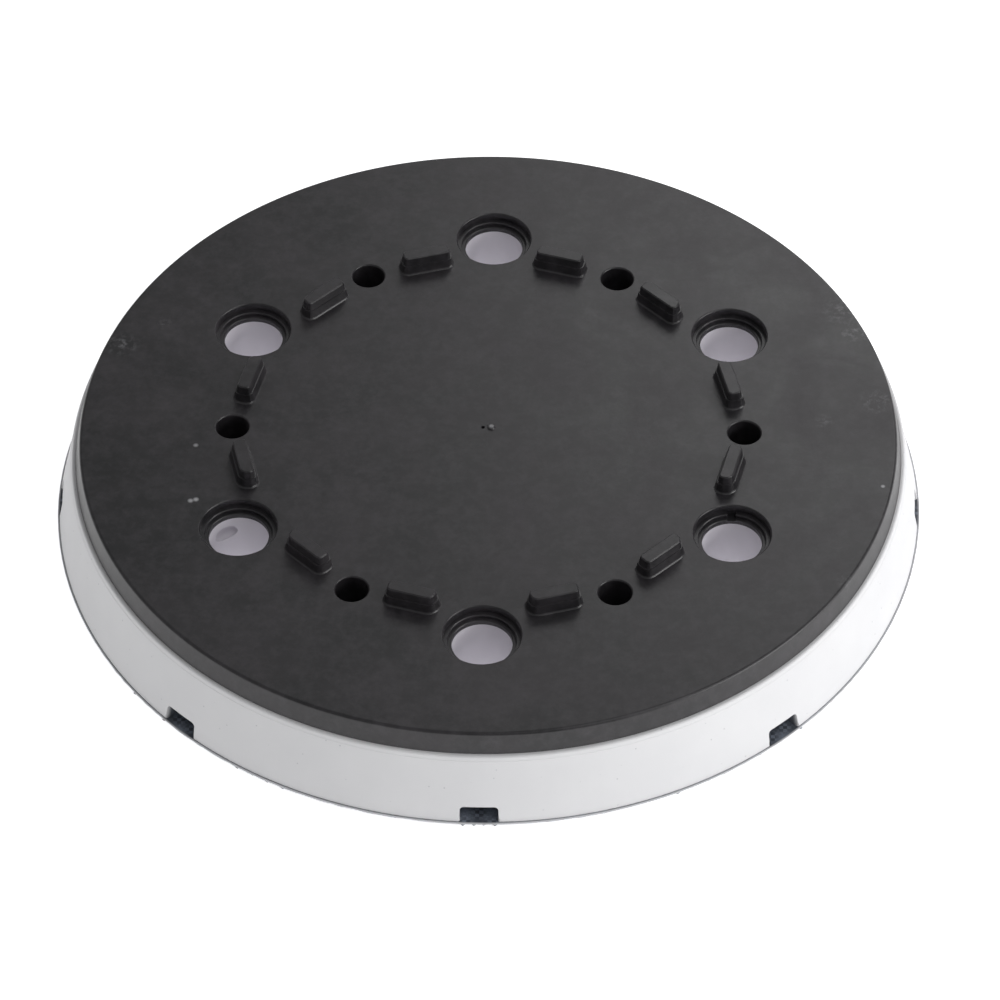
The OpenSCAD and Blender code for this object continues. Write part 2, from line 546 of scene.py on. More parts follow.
@dataclass(frozen=True)
class SkinnedFoam:
    """Polyurethane foam cast in a mould, with an integral skin.

    The skin is matt and nearly white, slightly wavy, with pinholes where
    bubbles met the mould. Light sinks a little way into it. The pinholes
    are painted darker, as painted shade. The walls of the air channels are
    painted dark grey, as painted shade inside the channels, and the walls
    of the dust passages get a faint violet tint as painted shade.
    """

    name: str = "integral_skin_polyurethane_foam"
    base: str = "#e1e1e2"
    shade: str = "#d6d6d8"
    # Darker grey in the pinholes: painted shade in the tiny holes.
    pore_shade: str = "#b4b5ba"
    # Dark grey for the air channels' walls: painted shade inside the channels.
    channel_shade: str = "#5a5e69"
    # Faint violet for the dust passages' walls: a painted tint of the shade inside them.
    passage: str = "#e0dde3"
    passage_r: float = 60.0
    channel_shade_cover: float = 0.88
    channel_shade_band: Band = Band(1.1, 0.35)
    channel_shade_rise: float = 1.25
    roughness: float = 0.6
    mottle: float = 11.0
    mottle_relief: Relief = Relief(0.35, 0.3)
    pinhole: float = 2.1
    pinhole_band: Band = Band(0.02, 0.08)
    pinhole_relief: Relief = Relief(0.4, 0.1)
    skin: float = 0.6
    skin_relief: Relief = Relief(0.2, 0.05)
    scatter: float = 0.12
    scatter_depth: float = 1.0

    def build(self, radius: float, bottom: float, slope: float,
              channel_h: float) -> bpy.types.Material:
        """Builds the material.

        Args:
            radius: The foam's radius at its bottom edge.
            bottom: Height of the foam's bottom.
            slope: How fast the side draws in with height.
            channel_h: Height of the air channels.

        Returns:
            The finished material.
        """
        s = Shader(self.name)
        mottle = s.node("ShaderNodeTexNoise",
                        {"Vector": s.place, "Scale": every(self.mottle), "Detail": 4.0}).outputs["Fac"]
        cells = s.node("ShaderNodeTexVoronoi",
                       {"Vector": s.place, "Scale": every(self.pinhole),
                        "Randomness": 1.0}).outputs["Distance"]
        skin = s.node("ShaderNodeTexNoise",
                      {"Vector": s.place, "Scale": every(self.skin), "Detail": 3.0}).outputs["Fac"]
        # The pinholes' mask dents the skin and darkens it; the darkening is painted shade.
        hole = s.node("ShaderNodeMapRange",
                      {"Value": cells, **self.pinhole_band.inputs,
                       "To Min": 1.0, "To Max": 0.0}).outputs["Result"]
        # Painted shade: the channels' walls are darkened, more so further in from the side.
        channel_shaded = self.in_channels(s, radius, bottom, slope, channel_h)
        # Painted shade tint: every foam face within the passage radius takes the violet.
        inner = s.node("ShaderNodeMath", {0: s.from_axis(), 1: self.passage_r * METRES},
                       operation="LESS_THAN").outputs["Value"]
        colour = s.layered(self.base, [(mottle, self.shade), (hole, self.pore_shade), (channel_shaded, self.channel_shade),
                                       (inner, self.passage)])
        fine = s.node("ShaderNodeBump", {"Height": skin, **self.skin_relief.inputs})
        waves = s.node("ShaderNodeBump", {"Height": mottle, **self.mottle_relief.inputs,
                                          "Normal": fine.outputs["Normal"]})
        dents = s.node("ShaderNodeBump", {"Height": hole, **self.pinhole_relief.inputs,
                                          "Normal": waves.outputs["Normal"]}, invert=True)
        s.fill(s.surface, {"Base Color": colour, "Roughness": self.roughness, "IOR": 1.48,
                           "Normal": dents.outputs["Normal"], "Subsurface Weight": self.scatter,
                           "Subsurface Radius": (1.0, 1.0, 1.0),
                           "Subsurface Scale": self.scatter_depth * METRES})
        return s.material

    def in_channels(self, s: Shader, radius: float, bottom: float, slope: float,
                    channel_h: float) -> bpy.types.NodeSocket:
        """Adds the mask of the low band that lies inside the foam's sloping side.

        Args:
            s: The material's nodes.
            radius: The foam's radius at its bottom edge.
            bottom: Height of the foam's bottom.
            slope: How fast the side draws in with height.
            channel_h: Height of the air channels.

        Returns:
            The share of the painted shade's colour, from 0 to its cover.
        """
        height = s.node("ShaderNodeSeparateXYZ", {0: s.place}).outputs["Z"]
        reach = s.node("ShaderNodeMath", {0: height, 1: slope, 2: s.from_axis()},
                       operation="MULTIPLY_ADD").outputs["Value"]
        side = radius + slope * bottom
        inside = s.node("ShaderNodeMapRange",
                        {"Value": reach, "From Min": (side - self.channel_shade_band.start) * METRES,
                         "From Max": (side - self.channel_shade_band.end) * METRES,
                         "To Min": self.channel_shade_cover, "To Max": 0.0}).outputs["Result"]
        top = (bottom + self.channel_shade_rise * channel_h) * METRES
        low = s.node("ShaderNodeMath", {0: height, 1: top}, operation="LESS_THAN").outputs["Value"]
        return s.node("ShaderNodeMath", {0: inside, 1: low}, operation="MULTIPLY").outputs["Value"]


@dataclass(frozen=True)
class Weave:
    """A plain weave, as squares with one set of yarns or the other on top.

    Along each set of yarns runs a slow swell, so that some stand prouder.
    """

    pitch: float = 0.7
    swell: float = 14.0
    fuzz: float = 0.3
    lowest: float = 0.15

    def height(self, s: Shader) -> bpy.types.NodeSocket:
        """Adds the weave's relief to a material.

        Args:
            s: The material's nodes.

        Returns:
            The relief, from its lowest value to about 1 where the yarns stand proud.
        """
        backs = []
        for direction in ("X", "Y"):
            wave = s.node("ShaderNodeTexWave",
                          {"Vector": s.place, "Scale": every(self.swell), "Distortion": 0.6,
                           "Detail Scale": 2.0}, bands_direction=direction)
            backs.append(wave.outputs["Fac"])
        over = s.node("ShaderNodeTexChecker",
                      {"Vector": s.place, "Scale": every(self.pitch)}).outputs["Fac"]
        crossed = s.node("ShaderNodeMix", {"Factor": over, "A": backs[0], "B": backs[1]})
        fibres = s.node("ShaderNodeTexNoise",
                        {"Vector": s.place, "Scale": every(self.fuzz), "Detail": 4.0})
        return s.node("ShaderNodeMath",
                      {0: crossed.outputs["Result"], 1: fibres.outputs["Fac"], 2: self.lowest},
                      operation="MULTIPLY_ADD").outputs["Value"]


@dataclass(frozen=True)
class WovenNylon:
    """Woven nylon base cloth of a hook sheet, or the film melted over it.

    The yarns are drawn a little coarser than real ones so that they show, and
    give the cloth a fine dark and pale check, its low places painted dark as
    painted shade between the yarns. The die that cuts the sheet out leaves
    its edge pale.
    """

    name: str = "woven_nylon_base_cloth"
    # Dark grey of the weave's low places: painted shade between the yarns.
    valley_shade: str = "#23272d"
    back: str = "#8a92a0"
    cut_edge: str = "#c6c7ca"
    edge_width: float = 0.35
    roughness: float = 0.75
    sheen: float = 0.3
    relief: Relief = Relief(0.8, 0.15)
    weave: Weave = Weave()

    def build(self, radius: float) -> bpy.types.Material:
        """Builds the material.

        Args:
            radius: The sheet's radius.

        Returns:
            The finished material.
        """
        s = Shader(self.name)
        height = self.weave.height(s)
        edge = s.node("ShaderNodeMapRange",
                      {"Value": s.from_axis(),
                       "From Min": (radius - self.edge_width) * METRES,
                       "From Max": (radius - 0.5 * self.edge_width) * METRES}).outputs["Result"]
        # Painted shade: the weave is darker where its relief is low.
        colour = s.layered(self.valley_shade, [(height, self.back), (edge, self.cut_edge)])
        bump = s.node("ShaderNodeBump", {"Height": height, **self.relief.inputs})
        s.fill(s.surface, {"Base Color": colour, "Roughness": self.roughness, "IOR": 1.53,
                           "Normal": bump.outputs["Normal"], "Sheen Weight": self.sheen,
                           "Sheen Roughness": 0.4})
        return s.material


@dataclass(frozen=True)
class HookNylon:
    """Natural nylon hooks, moulded in the sheet, slightly translucent and patchy in tone."""

    name: str = "nylon_hooks"
    base: str = "#a9acb1"
    tint: str = "#c3c6ca"
    roughness: float = 0.36
    patch: float = 2.3
    scatter: float = 0.2
    scatter_depth: float = 0.3

    def build(self) -> bpy.types.Material:
        """Builds the material.

        Returns:
            The finished material.
        """
        s = Shader(self.name)
        patch = s.node("ShaderNodeTexNoise",
                       {"Vector": s.place, "Scale": every(self.patch), "Detail": 2.0})
        colour = s.layered(self.base, [(patch.outputs["Fac"], self.tint)])
        s.fill(s.surface, {"Base Color": colour, "Roughness": self.roughness, "IOR": 1.53,
                           "Subsurface Weight": self.scatter,
                           "Subsurface Scale": self.scatter_depth * METRES})
        return s.material


# ---------------------------------------------------------------------- sizes


def in_mm(metres: float) -> float:
    """Turns metres into millimetres, to 0.01 mm, which drops the CAD mesh's facet error."""
    return round(metres / METRES, 2)


@dataclass(frozen=True)
class PadSizes:
    """Radii and heights that the pad's pieces share, in millimetres."""

    foam_r: float
    skirt_r: float
    plate_top: float
    web_z: float
    boss_z: float
    foam_z: float
    cloth_z: float
    cloth_top: float
    lug_top: float
    port_circle_r: float
    port_r: float
    screw_circle_r: float
    screw_r: float
    sheet_r: float
    rim_h: float = 4.0
    rim_flare: float = 0.8
    skirt_t: float = 2.2
    boss_wall: float = 1.8
    screw_depth: float = 9.0
    holes: int = 6

    @classmethod
    def from_frame(cls) -> "PadSizes":
        """Reads the sizes from the CAD nodes' boxes and from the record's mounts.

        Returns:
            The shared sizes.
        """
        mounts = {mount["name"]: mount for mount in frame["record"]["mounts"]}
        screws, ports = mounts["screw_circle"], mounts["dust_port_circle"]
        plate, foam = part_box("backing_plate"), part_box("foam_body")
        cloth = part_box("hook_base_cloth")
        return cls(
            foam_r=in_mm(foam[1][0]),
            skirt_r=in_mm(plate[1][0]),
            plate_top=in_mm(screws["pos_m"][2]),
            web_z=in_mm(ports["pos_m"][2]),
            boss_z=in_mm(plate[0][2]),
            foam_z=in_mm(foam[0][2]),
            cloth_z=in_mm(cloth[0][2]),
            cloth_top=in_mm(cloth[1][2]),
            lug_top=in_mm(plate[1][2]),
            port_circle_r=ports["dims"]["pcd_mm"] / 2,
            port_r=ports["dims"]["hole_r_mm"],
            screw_circle_r=screws["dims"]["pcd_mm"] / 2,
            screw_r=screws["dims"]["hole_r_mm"],
            sheet_r=in_mm(cloth[1][0]),
        )

    @property
    def screw_angles(self) -> list[float]:
        """Angles of the screw holes, in degrees."""
        return [i * 360 / self.holes for i in range(self.holes)]

    @property
    def port_angles(self) -> list[float]:
        """Angles of the dust ports, halfway between the screw holes."""
        return [a + 180 / self.holes for a in self.screw_angles]

    @property
    def skirt_z(self) -> float:
        """Height of the end of the plate's skirt."""
        return self.plate_top - self.rim_h

    @property
    def plate_r(self) -> float:
        """Radius of the plate's top edge."""
        return self.skirt_r - self.rim_flare

    @property
    def skirt_inner_r(self) -> float:
        """Inner radius of the plate's skirt."""
        return self.skirt_r - self.skirt_t

    @property
    def screw_places(self) -> list[Vector]:
        """Places of the screw holes."""
        return [around(self.screw_circle_r, a) for a in self.screw_angles]

    @property
    def port_places(self) -> list[Vector]:
        """Places of the dust ports."""
        return [around(self.port_circle_r, a) for a in self.port_angles]

    @property
    def boss_r(self) -> float:
        """Radius of the screw bosses, and of the foam's pockets for them."""
        return self.screw_r + self.boss_wall


# ----------------------------------------------------------------- the pieces


@dataclass
class Lug:
    """One driving lug: a drafted block with a root fillet, a ledge and a bevelled crown."""

    sizes: PadSizes
    circle_r: float = 42.8
    angle: float = 13.9
    length: float = 9.4
    width: float = 3.5
    draft: float = 0.4
    port_end_cut: float = 1.1
    screw_end_cut: float = 0.55
    inner_cut: float = 0.2
    crown: float = 0.22
    crown_steps: tuple[Point, ...] = ((0.15, 0.25), (0.7, 0.65), (0.15, 0.1))
    ledge: float = 0.18
    ledge_rise: float = 0.02
    ledge_share: float = 0.5
    root_r: float = 0.4
    sink: float = 0.03
    foot: float = 0.5

    @property
    def foot_z(self) -> float:
        """Height of the fillet's foot, a touch below the plate's top."""
        return self.sizes.plate_top - self.sink

    @property
    def taper(self) -> float:
        """How far the crown lies inside the foot, all round."""
        return self.root_r + self.draft + self.ledge + self.crown

    def build(self) -> bpy.types.Object:
        """Models the lug on +X, with its port end towards +Y.

        Returns:
            The lug, ready to be copied round the plate.
        """
        half_x = self.width / 2 + self.root_r
        half_y = self.length / 2 + self.root_r
        lug = started("lug", bpy.ops.mesh.primitive_plane_add, size=1,
                      location=(self.circle_r, 0, self.foot_z))
        lug.scale = (2 * half_x, 2 * half_y, 1)
        settle(lug)
        for out, end, cut, segments in ((1, 1, self.port_end_cut, 5), (1, -1, self.screw_end_cut, 4),
                                        (-1, 1, self.inner_cut, 2), (-1, -1, self.inner_cut, 2)):
            corner = Vector((self.circle_r + out * half_x, end * half_y))
            self.round_corner(lug, corner, cut + self.taper, segments)
        with shaping(lug):
            for inset, rise in self.rings():
                bpy.ops.mesh.inset(thickness=inset, depth=rise)
        self.close_foot(lug)
        face_outwards(lug)
        return lug

    def rings(self) -> list[Point]:
        """Gives each ring's step inwards and upwards, from foot to crown.

        Returns:
            Pairs of inset and rise.
        """
        height = self.sizes.lug_top - self.foot_z
        turns = [math.radians(a) for a in (0, 30, 60, 90)]
        root = [(self.root_r * (math.sin(b) - math.sin(a)), self.root_r * (math.cos(a) - math.cos(b)))
                for a, b in zip(turns, turns[1:])]
        crown = [(inward * self.crown, upward * self.crown) for inward, upward in self.crown_steps]
        wall = height - self.root_r - self.crown
        lower, upper = self.ledge_share, 1 - self.ledge_share
        return [*root, (lower * self.draft, lower * wall), (self.ledge, self.ledge_rise),
                (upper * self.draft, upper * wall - self.ledge_rise), *crown]

    def round_corner(self, lug: bpy.types.Object, corner: Vector, cut: float,
                     segments: int) -> None:
        """Rounds the corner of the lug's outline that lies nearest to a place.

        Args:
            lug: The lug while it is still a flat outline.
            corner: Where the corner is, across X and Y.
            cut: How far from the corner the rounding starts.
            segments: How many stretches the rounding has.
        """
        nearest = min(lug.data.vertices, key=lambda v: (v.co.xy - corner).length)
        for part in (*lug.data.edges, *lug.data.polygons):
            part.select = False
        for vertex in lug.data.vertices:
            vertex.select = vertex.index == nearest.index
        with shaping(lug, pick_all=False):
            bpy.ops.mesh.select_mode(type="VERT")
            bpy.ops.mesh.bevel(offset=cut, segments=segments, affect="VERTICES",
                               clamp_overlap=True)

    def close_foot(self, lug: bpy.types.Object) -> None:
        """Carries the lug's open outline down into the plate and closes it.

        Args:
            lug: The lug with its rings, open below.
        """
        low = self.foot_z + 0.01
        for part in lug.data.polygons:
            part.select = False
        for vertex in lug.data.vertices:
            vertex.select = vertex.co.z < low
        for edge in lug.data.edges:
            edge.select = all(lug.data.vertices[i].co.z < low for i in edge.vertices)
        with shaping(lug, pick_all=False):
            bpy.ops.mesh.select_mode(type="EDGE")
            bpy.ops.mesh.extrude_edges_move(TRANSFORM_OT_translate={"value": (0, 0, -self.foot)})
            bpy.ops.mesh.edge_face_add()

    def both_sides_of_each_screw(self) -> bpy.types.Object:
        """Copies the lug, and its mirror image, to all its places.

        Returns:
            The twelve lugs as one object.
        """
        first = self.build()
        pick_only(first)
        bpy.ops.object.duplicate(linked=False)
        mirrored = bpy.context.active_object
        mirrored.scale = (1, -1, 1)
        settle(mirrored)
        face_outwards(mirrored)
        copies = []
        for angle in self.sizes.screw_angles:
            copies.append(turned_copy(first, angle + self.angle))
            copies.append(turned_copy(mirrored, angle - self.angle))
        delete(first)
        delete(mirrored)
        return joined("lugs", copies)


@dataclass
class BackingPlate:
    """The black moulding: web, rim, lugs, screw bosses and gate mark."""

    sizes: PadSizes
    sides: int = 256
    edge_r: float = 0.6
    skirt_chamfer: float = 0.15
    boss_overlap: float = 1.5
    hole_edge_r: float = 0.35
    run_out: float = 5.0
    mouth_r: float = 6.5
    mouth_depth: float = 1.4
    step_r: float = 5.7
    step_depth: float = 0.7
    ledge_r: float = 0.12
    screw_tip_share: float = 0.6
    screw_tip_h: float = 0.8
    nick_port: float = -30.0
    nick_size: tuple[float, float, float] = (1.4, 1.6, 1.1)
    gate_r: float = 6.2
    gate_depth: float = 0.11
    gate_slope: Point = (0.16, 0.12)
    nub_place: Point = (0.5, 0.6)
    nub_rings: tuple[Point, ...] = ((0.75, -0.3), (0.7, 0.05), (0.55, 0.25), (0.25, 0.4))
    pit_place: Point = (-0.9, 0.6)
    pit_rings: tuple[Point, ...] = ((0.25, -0.7), (0.5, 1.0))
    crease: float = 32.0

    def build(self) -> bpy.types.Object:
        """Builds and dresses the plate.

        Returns:
            The finished plate.
        """
        s = self.sizes
        plate = self.disc()
        shape_with(plate, self.bosses(), Join.ADD)
        shape_with(plate, Lug(s).both_sides_of_each_screw(), Join.ADD)
        for cutter in (self.port_cutters, self.screw_cutters, self.gate_cutter, self.nick, self.pit):
            shape_with(plate, cutter(), Join.CUT)
        shape_with(plate, self.nub(), Join.ADD)
        hand_over(plate, "backing_plate", self.crease,
                  MouldedNylon().build(s.plate_top))
        return plate

    def disc(self) -> bpy.types.Object:
        """Turns the web with its skirt and rounded top edge.

        Returns:
            The disc.
        """
        s = self.sizes
        chamfer = self.skirt_chamfer
        shell = turned("moulded_plate", [
            (s.skirt_inner_r + 0.4, s.skirt_z),
            (s.skirt_r - chamfer, s.skirt_z),
            (s.skirt_r, s.skirt_z + chamfer),
            *arc((s.plate_r - self.edge_r, s.plate_top - self.edge_r), self.edge_r, 0, 90, 6),
        ], self.sides)
        hollow = turned("skirt_hollow", [
            (s.skirt_inner_r, s.skirt_z - 1.0),
            (s.skirt_inner_r, s.web_z),
        ], self.sides)
        shape_with(shell, hollow, Join.CUT)
        return shell

    def bosses(self) -> bpy.types.Object:
        """Turns the blind bosses under the web."""
        s = self.sizes
        rings = [(s.boss_r, s.boss_z), (s.boss_r, s.web_z + self.boss_overlap)]
        return turned_at(s.screw_places, "bosses", rings, 64)

    def mouth(self, radius: float) -> list[Point]:
        """Gives the rounded mouth of a hole, run out above the plate's top.

        Args:
            radius: The hole's radius below its mouth.

        Returns:
            Radius and height of each ring.
        """
        edge, top = self.hole_edge_r, self.sizes.plate_top
        lip = [(radius + edge * (1 - math.cos(t)), top - edge * (1 - math.sin(t)))
               for t in (math.radians(d) for d in (0, 25, 48, 70))]
        outside = radius + 1.25 * edge
        return [*lip, (outside, top + 0.1), (outside, top + self.run_out)]

    def port_cutters(self) -> bpy.types.Object:
        """Turns the stepped cutters of the dust ports.

        Returns:
            The cutters.
        """
        s, soft = self.sizes, self.ledge_r
        ledge_z = s.plate_top - self.mouth_depth
        step_z = ledge_z - self.step_depth
        return turned_at(s.port_places, "ports", [
            (s.port_r, s.web_z - 1.0),
            (s.port_r, step_z - soft),
            (s.port_r + soft, step_z),
            (self.step_r, step_z),
            (self.step_r, ledge_z - soft),
            (self.step_r + soft, ledge_z),
            (self.mouth_r, ledge_z),
            *self.mouth(self.mouth_r),
        ], 96)

    def screw_cutters(self) -> bpy.types.Object:
        """Turns the blind cutters of the screw holes.

        Returns:
            The cutters.
        """
        s = self.sizes
        bottom = s.plate_top - s.screw_depth
        return turned_at(s.screw_places, "screws", [
            (s.screw_r * self.screw_tip_share, bottom),
            (s.screw_r, bottom + self.screw_tip_h),
            *self.mouth(s.screw_r),
        ], 64)

    def gate_cutter(self) -> bpy.types.Object:
        """Turns the shallow round gate mark.

        Returns:
            The cutter.
        """
        top = self.sizes.plate_top
        inwards, outwards = self.gate_slope
        return turned("gate", [
            (self.gate_r - inwards, top - self.gate_depth),
            (self.gate_r + outwards, top + 0.03),
            (self.gate_r + outwards, top + 1.0),
        ], 96)

    def nick(self) -> bpy.types.Object:
        """Models the small gap in one port's ledge.

        Returns:
            The cutter.
        """
        s = self.sizes
        p = around(s.port_circle_r, self.nick_port)
        middle = (self.step_r + s.port_r) / 2 + 0.2
        height = s.plate_top - self.mouth_depth - self.step_depth / 2
        cutter = started("nick", bpy.ops.mesh.primitive_cube_add, size=1,
                         location=(p.x, p.y + middle, height))
        cutter.scale = self.nick_size
        settle(cutter)
        return cutter

    def pit(self) -> bpy.types.Object:
        """Turns the cutter of the small pit beside the torn stub."""
        top = self.sizes.plate_top
        return turned("pit", [(r, top + z) for r, z in self.pit_rings], 24, self.pit_place)

    def nub(self) -> bpy.types.Object:
        """Turns the torn stub of the sprue in the gate mark."""
        floor = self.sizes.plate_top - self.gate_depth
        return turned("nub", [(r, floor + z) for r, z in self.nub_rings], 24, self.nub_place)


@dataclass
class FoamBody:
    """The pale casting: flared side, lip, dust passages and edge channels."""

    sizes: PadSizes
    sides: int = 288
    lip: float = 0.7
    lip_r: float = 0.45
    flash_drop: float = 0.95
    flash_h: float = 0.12
    side_rings: tuple[float, ...] = (4.0, 8.0)
    bottom_r: float = 0.15
    waver: float = 0.12
    waver_size: float = 4.0
    passage_steps: int = 10
    channel_w: float = 6.4
    channel_h: float = 3.0
    channel_l: float = 12.0
    channel_flare: tuple[Point, ...] = ((0.25, 1.03), (0.3, 1.08))
    channel_sunk: float = 0.4
    corner_r: float = 0.7
    front: float = -90.0
    near: float = 42.7
    side: float = 88.2
    void_port: float = -150.0
    void_side: float = 122.0
    void_drop: float = 3.1
    void_size: tuple[float, float, float] = (0.9, 2.5, 1.5)
    void_tilt: float = -12.0
    crease: float = 38.0

    @property
    def slope(self) -> float:
        """How fast the side draws in with height."""
        s = self.sizes
        return (s.foam_r - s.skirt_r - self.lip) / (s.skirt_z - self.lip_r - s.foam_z)

    def build(self) -> bpy.types.Object:
        """Builds and dresses the foam.

        Returns:
            The finished foam body.
        """
        s = self.sizes
        foam = self.casting()
        for cutter in (self.passages, self.boss_pockets, self.channels, self.void):
            shape_with(foam, cutter(), Join.CUT)
        skin = SkinnedFoam().build(s.foam_r, s.foam_z, self.slope, self.channel_h)
        hand_over(foam, "foam_body", self.crease, skin)
        return foam

    def casting(self) -> bpy.types.Object:
        """Turns the foam with its lip, its flash line and its flared side.

        Returns:
            The casting before its holes are cut.
        """
        s = self.sizes
        lip_outer_r = s.skirt_r + self.lip
        flash_z = s.skirt_z - self.flash_drop

        def side_at(z: float, out: float = 0.0) -> Point:
            """Gives the side's radius at a height, and the height."""
            return (s.foam_r - self.slope * (z - s.foam_z) + out, z)

        return turned("foam", [
            (s.foam_r - self.bottom_r, s.foam_z),
            (s.foam_r - 0.3 * self.bottom_r, s.foam_z + 0.3 * self.bottom_r),
            *(side_at(s.foam_z + rise) for rise in (self.bottom_r, *self.side_rings)),
            side_at(flash_z - self.flash_h),
            side_at(flash_z, 0.7 * self.flash_h),
            side_at(flash_z + self.flash_h),
            *arc((lip_outer_r - self.lip_r, s.skirt_z - self.lip_r), self.lip_r, 0, 90, 5),
            (s.skirt_inner_r, s.skirt_z),
            (s.skirt_inner_r, s.web_z),
        ], self.sides)

    def passages(self) -> bpy.types.Object:
        """Turns the dust passages, with walls that wander a little.

        Returns:
            The cutters.
        """
        s = self.sizes
        low, high, steps = s.foam_z - 1.0, s.web_z + 1.0, self.passage_steps
        rings = [(s.port_r, low + (high - low) * i / steps) for i in range(steps + 1)]
        tools = []
        for p in s.port_places:
            tool = turned("passage", rings, 64, (p.x, p.y))
            for vertex in tool.data.vertices:
                out = (vertex.co.xy - p.xy).normalized()
                swell = noise.noise(vertex.co / self.waver_size) * self.waver
                vertex.co.xy = vertex.co.xy + out * swell
            tools.append(tool)
        return joined("passages", tools)

    def boss_pockets(self) -> bpy.types.Object:
        """Turns the cutters of the pockets that the plate's bosses fill."""
        s = self.sizes
        rings = [(s.boss_r, s.boss_z), (s.boss_r, s.web_z + 1.0)]
        return turned_at(s.screw_places, "pockets", rings, 64)

    def channels(self) -> bpy.types.Object:
        """Models one air channel and copies it to its places round the edge.

        Returns:
            The cutters.
        """
        s = self.sizes
        height = self.channel_h + self.channel_sunk
        place = (s.foam_r - self.channel_l, 0, s.foam_z + self.channel_h - height / 2)
        channel = started("channel", bpy.ops.mesh.primitive_plane_add, size=1, location=place,
                          rotation=(0, math.radians(90), 0))
        channel.scale = (height, self.channel_w, 1)
        settle(channel)
        straight = self.channel_l - sum(length for length, _ in self.channel_flare)
        with shaping(channel):
            bpy.ops.mesh.bevel(offset=self.corner_r, segments=4, affect="VERTICES")
            bpy.ops.mesh.select_all(action="SELECT")
            for length, widening in ((straight, 1.0), *self.channel_flare, (1.5, 1.0)):
                bpy.ops.mesh.extrude_region_move(TRANSFORM_OT_translate={"value": (length, 0, 0)})
                bpy.ops.transform.resize(value=(1, widening, widening),
                                         center_override=(0, 0, s.foam_z))
        face_outwards(channel)
        angles = [self.front, -self.front]
        for turn in (-1, 1):
            angles += [self.front + turn * self.near, self.front + turn * self.side,
                       -self.front + turn * self.near]
        copies = [turned_copy(channel, a) for a in angles]
        delete(channel)
        return joined("channels", copies)

    def void(self) -> bpy.types.Object:
        """Models the hollow that a bubble left in one passage's wall.

        Returns:
            The cutter.
        """
        s = self.sizes
        p = around(s.port_circle_r, self.void_port)
        wall = around(s.port_r, self.void_side)
        void = started("void", bpy.ops.mesh.primitive_uv_sphere_add, segments=32, ring_count=16,
                       radius=1, location=(p.x + wall.x, p.y + wall.y, s.web_z - self.void_drop),
                       rotation=(0, math.radians(self.void_tilt), math.radians(self.void_side)))
        void.scale = self.void_size
        settle(void)
        return void


